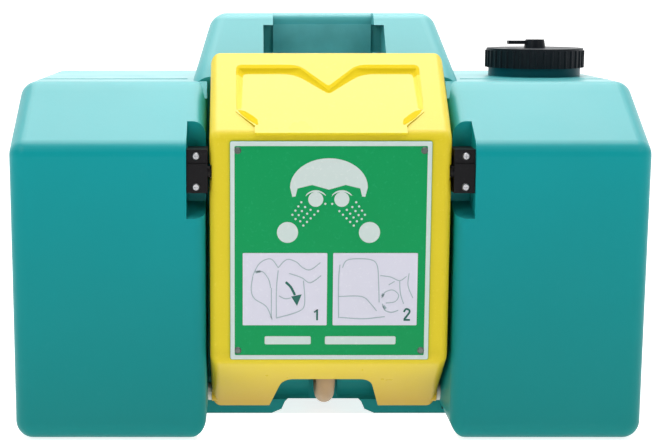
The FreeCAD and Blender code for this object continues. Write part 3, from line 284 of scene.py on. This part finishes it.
PRINT = {"peel": 340.0, "bump": (0.02, 0.06)}
MATS = {
    "tank": tank_material(),
    "neck": moulded("neck_plastic", (0.003, 0.085, 0.105), (0.002, 0.068, 0.082),
                    (0.02, 0.13, 0.14), 0.4),
    "grip": rubber("grip_rubber", (0.150, 0.550, 0.580), (0.120, 0.460, 0.480), 0.5),
    "cap": moulded("cap_plastic", (0.012, 0.015, 0.019), (0.008, 0.010, 0.013),
                   (0.05, 0.055, 0.06), 0.42, peel=260.0),
    # the cover's low colour is painted shade that darkens it towards its foot
    "cover": moulded("cover_plastic", (0.72, 0.58, 0.026), (0.67, 0.53, 0.021),
                     (0.85, 0.70, 0.10), 0.33, bump=(0.08, 0.15), low=(0.42, 0.27, 0.010), tops=True),
    # painted shade: the groove is a darker yellow than the cover, standing in for the shade on the cove's
    # walls
    "groove": moulded("cover_groove_painted_shade", (0.70, 0.52, 0.006), (0.64, 0.47, 0.005),
                      (0.80, 0.62, 0.05), 0.75),
    # painted light: the side coves get a paler yellow than the cover, standing in for how light falls on
    # their walls
    "groove_pale": moulded("cover_groove_painted_light", (0.78, 0.66, 0.090), (0.74, 0.61, 0.075),
                           (0.82, 0.68, 0.12), 0.7),
    "sign": moulded("sign_face", (0.002, 0.300, 0.090), (0.003, 0.272, 0.078),
                    (0.03, 0.40, 0.17), 0.34, peel=340.0, bump=(0.03, 0.08)),
    "print": moulded("sign_print", (0.58, 0.67, 0.64), (0.54, 0.63, 0.60),
                     (0.82, 0.84, 0.81), 0.40, **PRINT),
    "catch": moulded("catch_plastic", (0.010, 0.009, 0.010), (0.006, 0.006, 0.007),
                     (0.05, 0.05, 0.05), 0.42),
    "fitting": moulded("fitting_plastic", (0.016, 0.016, 0.017), (0.010, 0.010, 0.011),
                       (0.06, 0.06, 0.06), 0.4),
    "pvc": moulded("white_plastic", (0.70, 0.71, 0.69), (0.62, 0.63, 0.60),
                   (0.80, 0.80, 0.79), 0.35),
    "nylon": moulded("nylon", (0.66, 0.64, 0.57), (0.58, 0.56, 0.50), (0.75, 0.74, 0.70), 0.45),
    "head": moulded("head_plastic", (0.010, 0.30, 0.10), (0.008, 0.25, 0.08),
                    (0.06, 0.40, 0.18), 0.35),
    "panel": moulded("sign_panel", (0.66, 0.65, 0.74), (0.62, 0.62, 0.70),
                     (0.82, 0.82, 0.86), 0.40, **PRINT),
    "line": moulded("sign_line", (0.36, 0.45, 0.47), (0.30, 0.40, 0.42),
                    (0.5, 0.56, 0.57), 0.42, **PRINT),
    "ink": moulded("sign_ink", (0.030, 0.150, 0.115), (0.022, 0.125, 0.095),
                   (0.10, 0.22, 0.19), 0.42, **PRINT),
    "rubber": rubber("black_rubber", (0.014, 0.014, 0.014), (0.008, 0.008, 0.008), 0.62),
    "hose": rubber("hose_latex", (0.38, 0.255, 0.135), (0.31, 0.205, 0.105), 0.42),
    "steel": metal("stainless_steel", (0.62, 0.62, 0.63), (0.50, 0.50, 0.52), 0.28),
    "rivet": metal("rivet_metal", (0.16, 0.19, 0.17), (0.10, 0.12, 0.11), 0.38),
    "brass": metal("brass", (0.62, 0.44, 0.16), (0.50, 0.34, 0.11), 0.30),
}

NODE_MATS = {
    "tank_shell": "tank", "filler_neck": "neck", "handle_grip": "grip", "cap_gasket": "rubber",
    "fill_cap": "cap", "vent_knob": "cap", "vent_collar": "cap", "cover_shell": "cover",
    "sign_plate": "sign", "sign_rivets": "rivet", "hinge_pins": "steel", "hinge_inserts": "brass",
    "hinge_bushes": "nylon", "hinge_washers": "nylon", "catch_screws": "steel",
    "catch_inserts": "brass", "outlet_fitting": "fitting", "outlet_gasket": "rubber",
    "outlet_nut": "fitting", "outlet_clamp": "steel", "manifold_clamp": "steel",
    "supply_hose": "hose", "manifold": "pvc", "spray_faces": "pvc", "head_screens": "steel",
    "head_nuts": "fitting", "manifold_clips": "fitting", "wall_inserts": "brass",
    "left_catch_housing": "catch", "right_catch_housing": "catch", "left_plunger": "catch",
    "right_plunger": "catch", "left_catch_spring": "steel", "right_catch_spring": "steel",
    "left_spray_head": "head", "right_spray_head": "head",
}
for name, key in NODE_MATS.items():
    mesh = NODES[name].data
    mesh.materials.clear()
    mesh.materials.append(MATS[key])
    for poly in mesh.polygons:
        poly.material_index = 0


# ---------------------------------------------------------------- mesh kit
def new_piece(name, bm, material, body, smooth=True):
    """A mesh piece from a bmesh, riding on one body; body is None on the floor."""
    bmesh.ops.recalc_face_normals(bm, faces=bm.faces)
    mesh = bpy.data.meshes.new(name)
    bm.to_mesh(mesh)
    bm.free()
    mesh.materials.append(material)
    for poly in mesh.polygons:
        poly.use_smooth = smooth
    obj = bpy.data.objects.new(name, mesh)
    bpy.context.scene.collection.objects.link(obj)
    if body is not None:
        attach(obj, body)
    return obj


def skin(bm, rims):
    """Join neighbouring rings of vertices with four-sided faces and close both ends."""
    for a, b in zip(rims, rims[1:]):
        for j in range(len(a)):
            k = (j + 1) % len(a)
            bm.faces.new((a[j], a[k], b[k], b[j]))
    bm.faces.new(rims[0])
    bm.faces.new(rims[-1])


def piece_from(curve, name, material, turn=(0, 0, 0), place=(0, 0, 0)):
    """A mesh piece made from a curve, riding on nothing yet; the curve's own object is dropped."""
    temp = bpy.data.objects.new(name, curve)
    bpy.context.scene.collection.objects.link(temp)
    temp.rotation_euler = turn
    temp.location = place
    bpy.context.view_layer.update()
    graph = bpy.context.evaluated_depsgraph_get()
    mesh = bpy.data.meshes.new_from_object(temp.evaluated_get(graph))
    mesh.transform(temp.matrix_world)
    bpy.data.objects.remove(temp)
    mesh.name = name
    mesh.materials.clear()
    mesh.materials.append(material)
    obj = bpy.data.objects.new(name, mesh)
    bpy.context.scene.collection.objects.link(obj)
    return obj


def neighbours(path, i):
    """The points on either side of one point of a path, or the point itself at an end."""
    return path[max(i - 1, 0)], path[min(i + 1, len(path) - 1)]


# ---------------------------------------------------------------- supply hose and catch springs
def tube(name, route, radius, rings, material):
    """A round solid tube along a route of points, as a mesh piece that rides on nothing yet."""
    curve = bpy.data.curves.new(name + "_line", "CURVE")
    curve.dimensions = "3D"
    spline = curve.splines.new("NURBS")
    spline.points.add(len(route) - 1)
    for point, spot in zip(spline.points, route):
        point.co = (*spot, 1.0)
    spline.order_u = 4
    spline.use_endpoint_u = True
    spline.resolution_u = 3
    curve.bevel_depth = radius
    curve.bevel_resolution = rings
    curve.use_fill_caps = True
    obj = piece_from(curve, name, material)
    for poly in obj.data.polygons:
        poly.use_smooth = True
        poly.material_index = 0
    return obj


# the hose's route, in millimetres: the bend's radius and middle, then the straight run to its top
BEND_R, BEND_BACK, BEND_Z = 35.5, 81.5, 57.0
OUTLET_BACK, OUTLET_Z = BEND_BACK + BEND_R, 66.5
BEND_END_BACK = BEND_BACK - BEND_R
RISER_BACK, RISER_Z, HOSE_TOP_Z = 18.5, 202.0, 229.8
RISE_PULL = 130.0  # how far the rise holds on upward before it leans
HOSE_R = 0.0085


def hose_piece():
    """A smooth latex tube from the tank's outlet, round its bend and up to the manifold."""
    route = [at(0, OUTLET_BACK, OUTLET_Z), at(0, OUTLET_BACK, 62)]
    for i in range(19):
        turn = math.radians(10 * i)
        route.append(at(0, BEND_BACK + BEND_R * math.cos(turn), BEND_Z - BEND_R * math.sin(turn)))
    for i in range(1, 10):
        t = i / 10.0
        ease = 3 * t * t - 2 * t ** 3
        pull = RISE_PULL * (2 * t ** 3 - 3 * t * t + t)
        route.append(at(0, BEND_END_BACK - (BEND_END_BACK - RISER_BACK) * ease,
                        BEND_Z + (RISER_Z - BEND_Z) * ease + pull))
    route += [at(0, RISER_BACK, RISER_Z), at(0, RISER_BACK, 216), at(0, RISER_BACK, HOSE_TOP_Z)]
    obj = tube("supply_hose_tube", route, HOSE_R, 10, MATS["hose"])
    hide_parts("supply_hose")
    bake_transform(obj)


SPRING_WIRE_R = 0.00045
SPRING_TURNS = 4
SPRING_STEPS = 20


def spring_piece(side):
    """A catch's coil spring, wound through the box of the spring's node."""
    node = side + "_catch_spring"
    low, high = (Vector(corner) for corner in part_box(node))
    middle = (low + high) / 2
    reach = (high.z - low.z) / 2 - SPRING_WIRE_R
    first, last = low.x + SPRING_WIRE_R, high.x - SPRING_WIRE_R
    count = SPRING_TURNS * SPRING_STEPS
    route = []
    for i in range(count + 1):
        turn = 2 * math.pi * i / SPRING_STEPS
        route.append(Vector((first + (last - first) * i / count,
                             middle.y + reach * math.cos(turn), middle.z + reach * math.sin(turn))))
    obj = tube(side + "_catch_coil", route, SPRING_WIRE_R, 3, MATS["steel"])
    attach(obj, "tank")
    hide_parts(node)
    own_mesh(obj)


hose_piece()
spring_piece("left")
spring_piece("right")


# ---------------------------------------------------------------- sign graphics
SIGN_LOW, SIGN_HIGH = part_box("sign_plate")
SIGN_FRONT = SIGN_LOW.y
STROKE_LIFT, STROKE_THICK, PATCH_SINK = 0.0004, 0.0003, 0.00002


def flat_shape(name, outline, thick=0.00025, material="print", holes=()):
    """A thin printed patch on the sign from outlines in millimetres, given as x and z."""
    curve = bpy.data.curves.new(name, "CURVE")
    curve.dimensions = "2D"
    curve.fill_mode = "BOTH"
    for loop in [outline, *holes]:
        spline = curve.splines.new("POLY")
        spline.points.add(len(loop) - 1)
        for point, (x, z) in zip(spline.points, loop):
            point.co = (x / 1000.0, z / 1000.0, 0.0, 1.0)
        spline.use_cyclic_u = True
    curve.extrude = thick / 2
    obj = piece_from(curve, name, MATS[material], (math.radians(90), 0, 0),
                     (0, SIGN_FRONT - thick / 2 + PATCH_SINK, 0))
    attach(obj, "cover")


def rounded(x0, z0, x1, z1, r, steps=5):
    """The outline of a rectangle with round corners."""
    pts = []
    for cx, cz, a0 in ((x1 - r, z1 - r, 0), (x0 + r, z1 - r, 90),
                       (x0 + r, z0 + r, 180), (x1 - r, z0 + r, 270)):
        for i in range(steps + 1):
            a = math.radians(a0 + 90.0 * i / steps)
            pts.append((cx + r * math.cos(a), cz + r * math.sin(a)))
    return pts


def disc(cx, cz, r, steps=28):
    """The outline of a circle."""
    return [(cx + r * math.cos(2 * math.pi * i / steps), cz + r * math.sin(2 * math.pi * i / steps))
            for i in range(steps)]


def lines(name, paths, width, material="line"):
    """Flat strokes on the sign: each path is a list of x and z in millimetres."""
    bm = bmesh.new()
    y = SIGN_FRONT - STROKE_LIFT
    for path in paths:
        rims = []
        for i, (x, z) in enumerate(path):
            (ax, az), (bx, bz) = neighbours(path, i)
            size = math.hypot(bx - ax, bz - az) or 1.0
            nx, nz = -(bz - az) / size * width / 2, (bx - ax) / size * width / 2
            rims.append([bm.verts.new(((x + s * nx) / 1000, y + d, (z + s * nz) / 1000))
                         for s, d in ((1, 0), (-1, 0), (-1, STROKE_THICK), (1, STROKE_THICK))])
        skin(bm, rims)
    new_piece(name, bm, MATS[material], "cover", False)


def smooth_path(path, steps=6):
    """A rounded line through the given points."""
    out = []
    for i in range(len(path) - 1):
        p0, p1 = path[max(i - 1, 0)], path[i]
        p2, p3 = path[i + 1], path[min(i + 2, len(path) - 1)]
        for k in range(steps):
            t = k / steps
            out.append(tuple(0.5 * (2 * b + (c - a) * t + (2 * a - 5 * b + 4 * c - d) * t * t
                                    + (3 * b - a - 3 * c + d) * t ** 3)
                             for a, b, c, d in zip(p0, p1, p2, p3)))
    out.append(path[-1])
    return out


X0, X1 = SIGN_LOW.x * 1000, SIGN_HIGH.x * 1000
Z0, Z1 = SIGN_LOW.z * 1000, SIGN_HIGH.z * 1000
flat_shape("sign_border", rounded(X0 + 0.3, Z0 + 0.3, X1 - 0.3, Z1 - 0.3, 1.6),
           holes=[rounded(X0 + 3.9, Z0 + 3.9, X1 - 3.9, Z1 - 4.2, 1.0)])

# a plain face-and-spray symbol: brow, two eyes, two nozzles and their drops
MID = -1.6
brow = [(MID + 32.5 * math.cos(math.radians(a)), 220.5 + 24.5 * math.sin(math.radians(a)))
        for a in range(0, 181, 9)]
brow += [(MID - 30.5, 212.6), (MID - 27.8, 212.9), (MID - 26.2, 219.6), (MID - 14, 222.6), (MID, 218.6),
         (MID + 14, 222.6), (MID + 26.2, 219.6), (MID + 27.8, 212.9), (MID + 30.5, 212.6)]
flat_shape("sign_brow", brow)
for side, sign in (("left", -1), ("right", 1)):
    ex = MID + sign * 10.9
    flat_shape("sign_eye_" + side, disc(ex, 210.4, 6.3))
    lid = [(ex + 10.2 * math.cos(math.radians(a)), 208.4 + 9.8 * math.sin(math.radians(a)))
           for a in range(32, 149, 9)]
    lid += [(ex + 10.0 * math.cos(math.radians(a)), 208.4 + 8.3 * math.sin(math.radians(a)))
            for a in range(148, 31, -9)]
    flat_shape("sign_lid_" + side, lid)
    bx, bz = MID + sign * 34.4, 182.4
    flat_shape("sign_nozzle_" + side, disc(bx, bz, 8.9))
    ux, uz = -sign * 0.64, 0.768
    for row in range(4):
        for step in range(7):
            far = 13.0 + 4.3 * step + 1.1 * (row % 2)
            wide = (row - 1.5) * (4.3 + 0.25 * step)
            x, z = bx + ux * far + uz * wide * sign, bz + uz * far + 0.64 * wide
            if z < 211 and math.hypot(x - ex, z - 210.4) > 8.6 and abs(x - MID) > 0.8:
                flat_shape("sign_drop_%s_%d_%d" % (side, row, step), disc(x, z, 0.95, 8))

# two numbered picture panels with plain line drawings
PANELS = (-73.6, 2.6)
PANEL_LOW, PANEL_WIDE, PANEL_TALL = 102.6, 71.2, 62.2
for i, left in enumerate(PANELS):
    flat_shape("sign_panel_%d" % (i + 1), rounded(left, PANEL_LOW, left + PANEL_WIDE,
                                                 PANEL_LOW + PANEL_TALL, 0.8), material="panel")


def on_panel(index, path):
    """A path given in shares of one picture panel, as x and z in millimetres."""
    return [(PANELS[index] + PANEL_WIDE * a, PANEL_LOW + PANEL_TALL * b) for a, b in path]


# line drawings in shares of a panel's width and height: pulling the cover open, and washing
pull = [[(0.12, 0.68), (0.10, 0.50), (0.14, 0.37), (0.28, 0.26), (0.35, 0.08)],
        [(0.34, 0.52), (0.34, 0.10)], [(0.42, 0.76), (0.40, 0.50), (0.40, 0.10)],
        [(0.12, 0.69), (0.20, 0.86), (0.33, 0.92), (0.42, 0.80)],
        [(0.16, 0.74), (0.24, 0.74), (0.31, 0.63), (0.33, 0.52)],
        [(0.42, 0.80), (0.52, 0.91), (0.63, 0.88), (0.71, 0.80), (0.80, 0.77), (0.92, 0.87)],
        [(0.55, 0.72), (0.70, 0.66), (0.80, 0.59), (0.93, 0.69)],
        [(0.72, 0.62), (0.735, 0.30), (0.66, 0.19), (0.40, 0.10)],
        [(0.43, 0.41), (0.50, 0.37), (0.57, 0.38)]]
wash = [[(0.07, 0.10), (0.065, 0.60), (0.08, 0.84)],
        [(0.07, 0.40), (0.34, 0.40), (0.45, 0.30), (0.52, 0.20)],
        [(0.11, 0.80), (0.15, 0.89), (0.24, 0.92), (0.44, 0.91), (0.52, 0.83), (0.54, 0.60), (0.55, 0.32)],
        [(0.08, 0.11), (0.36, 0.09), (0.62, 0.12)],
        [(0.56, 0.69), (0.68, 0.67), (0.79, 0.62), (0.87, 0.68)],
        [(0.79, 0.62), (0.80, 0.45), (0.84, 0.30)],
        [(0.90, 0.72), (0.89, 0.55), (0.95, 0.38)],
        [(0.58, 0.38), (0.62, 0.46), (0.71, 0.49), (0.78, 0.42), (0.74, 0.33), (0.63, 0.31)],
        [(0.59, 0.30), (0.62, 0.21), (0.70, 0.18), (0.78, 0.21)], [(0.66, 0.56), (0.73, 0.61)]]
lines("panel_drawing_1", [smooth_path(on_panel(0, path)) for path in pull], 0.75)
lines("panel_drawing_2", [smooth_path(on_panel(1, path)) for path in wash], 0.75)
lines("panel_shades", [smooth_path(on_panel(0, [(0.15, 0.735), (0.21, 0.75)])),
                       smooth_path(on_panel(1, [(0.585, 0.40), (0.60, 0.44)])),
                       smooth_path(on_panel(1, [(0.60, 0.27), (0.63, 0.23)]))], 2.2)
lines("panel_arrow", [smooth_path(on_panel(0, [(0.51, 0.60), (0.57, 0.53), (0.62, 0.42)]))], 2.0, "ink")
flat_shape("panel_arrow_head", on_panel(0, [(0.575, 0.40), (0.70, 0.43), (0.645, 0.27)]),
           0.0004, "ink")
lines("panel_one", [on_panel(0, [(0.85, 0.18), (0.885, 0.22), (0.885, 0.07)])], 1.6, "ink")
lines("panel_two", [smooth_path(on_panel(1, [(0.845, 0.185), (0.87, 0.225), (0.905, 0.215), (0.91, 0.175),
                                             (0.845, 0.075)])) + on_panel(1, [(0.92, 0.075)])],
      1.6, "ink")

# plain bars where a caption would be
for i, (left, right) in enumerate(((-55.0, -15.8), (-3.8, 56.2))):
    flat_shape("sign_bar_%d" % (i + 1), rounded(left, 86.0, right, 93.0, 1.2))

# ---------------------------------------------------------------- cove round the cover's sunk panel
# the cover's slope runs from its turn line to its top, and the panel's floor leans a little flatter
TURN_BACK, TURN_Z = 2.5, 264.0
TOP_BACK, TOP_Z = 76.0, 329.0
PANEL_START, PANEL_SINK = 38.0, math.radians(2.8)
LEAN = math.atan2(TOP_Z - TURN_Z, TOP_BACK - TURN_BACK)
PLANE = LEAN - PANEL_SINK
COVE_PROUD, COVE_SEAT, COVE_FLOOR, COVE_ROOT = 0.15, 0.1, 0.08, -0.6


def on_slope(x, along, lift):
    """A spot on the panel's floor: across, up the slope from the panel's start, and off the floor."""
    back = TURN_BACK + PANEL_START * math.cos(LEAN) + along * math.cos(PLANE) - lift * math.sin(PLANE)
    z = TURN_Z + PANEL_START * math.sin(LEAN) + along * math.sin(PLANE) + lift * math.cos(PLANE)
    return at(x, back, z)


def cove(name, outer, middle, inner, material):
    """A soft groove: flat on the cover outside the panel's rim, then a fillet down to its floor."""
    bm = bmesh.new()
    rims = []
    slope_rise = math.tan(PANEL_SINK)
    for (ax, a_along), (mx, m_along), (bx, b_along) in zip(outer, middle, inner):
        high = max(m_along * slope_rise, 0.0) + COVE_PROUD
        ring = [on_slope(ax, a_along, max(a_along * slope_rise, 0.0) - COVE_SEAT),
                on_slope(ax + (mx - ax) * 0.15, a_along + (m_along - a_along) * 0.15,
                         max(a_along * slope_rise, 0.0) + COVE_PROUD)]
        for i in range(7):
            t = i / 6.0
            ring.append(on_slope(mx + (bx - mx) * t, m_along + (b_along - m_along) * t,
                                 COVE_FLOOR + (high - COVE_FLOOR) * (1 - t) ** 2))
        ring.append(on_slope(bx, b_along, COVE_ROOT))
        ring.append(on_slope(ax, a_along, COVE_ROOT))
        rims.append([bm.verts.new(spot) for spot in ring])
    skin(bm, rims)
    new_piece(name, bm, MATS[material], "cover", False)


def corner_line(points, radii, steps=6):
    """Straight runs with round corners; every corner gives the same number of points."""
    out = [points[0]]
    for i in range(1, len(points) - 1):
        p, c, n = Vector(points[i - 1]), Vector(points[i]), Vector(points[i + 1])
        a, b = (p - c).normalized(), (n - c).normalized()
        r = radii[i - 1]
        for k in range(steps + 1):
            t = k / steps
            start, end = c + a * r, c + b * r
            spot = start * (1 - t) ** 2 + c * 2 * t * (1 - t) + end * t * t
            out.append((spot.x, spot.y))
    out.append(points[-1])
    return out


# the top and low coves wear painted shade, and the side coves a paler painted tone
cove("panel_cove_top",
     corner_line([(-79.5, 33), (-79.5, 46), (-25.5, 46), (0, 20), (25.5, 46), (79.5, 46), (79.5, 33)],
                 (6, 9, 3, 9, 6)),
     corner_line([(-77, 33), (-77, 41), (-24, 41), (0, 14), (24, 41), (77, 41), (77, 33)],
                 (1, 1, 0.5, 1, 1)),
     corner_line([(-73.5, 31), (-73.5, 36), (-29, 36), (0, 10.5), (29, 36), (73.5, 36), (73.5, 31)],
                 (4, 11, 4, 11, 4)), "groove")
for side, sign in (("left", -1), ("right", 1)):
    cove("panel_cove_side_" + side, [(sign * 79.5, 33), (sign * 79.5, 10), (sign * 79, -9)],
         [(sign * 77, 33), (sign * 77, 10), (sign * 77, -8)],
         [(sign * 73.5, 31), (sign * 74, 10), (sign * 74.5, -7)], "groove_pale")
    cove("panel_cove_low_" + side,
         [(sign * x, along) for x, along in
          ((77.8, -9.5), (75.5, -14), (70.8, -19.8), (65, -25), (61.3, -27.6))],
         [(sign * x, along) for x, along in
          ((77.2, -9.5), (74, -13.5), (69.2, -18.8), (64, -24), (61, -27))],
         [(sign * x, along) for x, along in
          ((76.6, -9), (71.5, -10.8), (65.8, -15.6), (61, -21), (60.5, -26.4))], "groove")

# ---------------------------------------------------------------- small moulded details
# mould parting line: over each lobe's top, down its end and along its underside
LOBE_TOP, ROUND_X, ROUND_R, LINE_START_X, LINE_BACK = 304, 254, 16, 124, 120
BEAD_HIGH, BEAD_DEEP = 0.45, 0.9
for side, sign in (("left", -1), ("right", 1)):
    path = [(LINE_START_X, LOBE_TOP)]
    path += [(ROUND_X + ROUND_R * math.sin(math.radians(a)),
              LOBE_TOP - ROUND_R + ROUND_R * math.cos(math.radians(a))) for a in range(0, 91, 15)]
    path += [(ROUND_X + ROUND_R * math.cos(math.radians(a)),
              ROUND_R - ROUND_R * math.sin(math.radians(a))) for a in range(0, 76, 15)]
    bm = bmesh.new()
    rims = []
    for i, (x, z) in enumerate(path):
        (ax, az), (bx, bz) = neighbours(path, i)
        size = math.hypot(bx - ax, bz - az)
        nx, nz = -(bz - az) / size, (bx - ax) / size
        rim = []
        for a in range(0, 360, 60):
            c, d = math.cos(math.radians(a)), math.sin(math.radians(a))
            rim.append(bm.verts.new(at(sign * (x + nx * BEAD_HIGH * c), LINE_BACK + BEAD_DEEP * d,
                                       z + nz * BEAD_HIGH * c)))
        rims.append(rim)
    skin(bm, rims)
    new_piece("parting_line_" + side, bm, MATS["tank"], "tank")

# ---------------------------------------------------------------- floor
# a pale floor with a step down in front and a notch, so that the open cover has room to hang
REACH, STEP, EDGE, NOTCH_BACK, NOTCH_HALF, FLOOR_TOP = 6000.0, -90.0, -6.0, 84.0, 113.0, -0.4
FLOOR_GLOW = 0.80  # the floor gives off light, so that it reads as a white background
bm = bmesh.new()
edge_line = [(-REACH, EDGE), (-NOTCH_HALF, EDGE), (-NOTCH_HALF, NOTCH_BACK), (NOTCH_HALF, NOTCH_BACK),
             (NOTCH_HALF, EDGE), (REACH, EDGE)]
top = [bm.verts.new(at(x, y, FLOOR_TOP)) for x, y in edge_line]
low = [bm.verts.new(at(x, y, STEP)) for x, y in edge_line]
rear = [bm.verts.new(at(x, REACH, FLOOR_TOP)) for x, y in edge_line]
front = [bm.verts.new(at(x, -REACH, STEP)) for x, y in edge_line]
for i in range(len(edge_line) - 1):
    bm.faces.new((low[i], low[i + 1], top[i + 1], top[i]))
for i, j in ((0, 1), (2, 3), (4, 5)):
    bm.faces.new((top[i], top[j], rear[j], rear[i]))
    bm.faces.new((front[i], front[j], low[j], low[i]))
floor_kit = Kit("floor_paint", 0.8)
floor_kit.colour(floor_kit.mix(floor_kit.noise(3.0, 3.0), (0.58, 0.58, 0.58), (0.56, 0.56, 0.56)))
floor_kit.bsdf.inputs["Emission Color"].default_value = (1.0, 1.0, 1.0, 1.0)
floor_kit.bsdf.inputs["Emission Strength"].default_value = FLOOR_GLOW
floor = new_piece("floor", bm, floor_kit.mat, None, False)
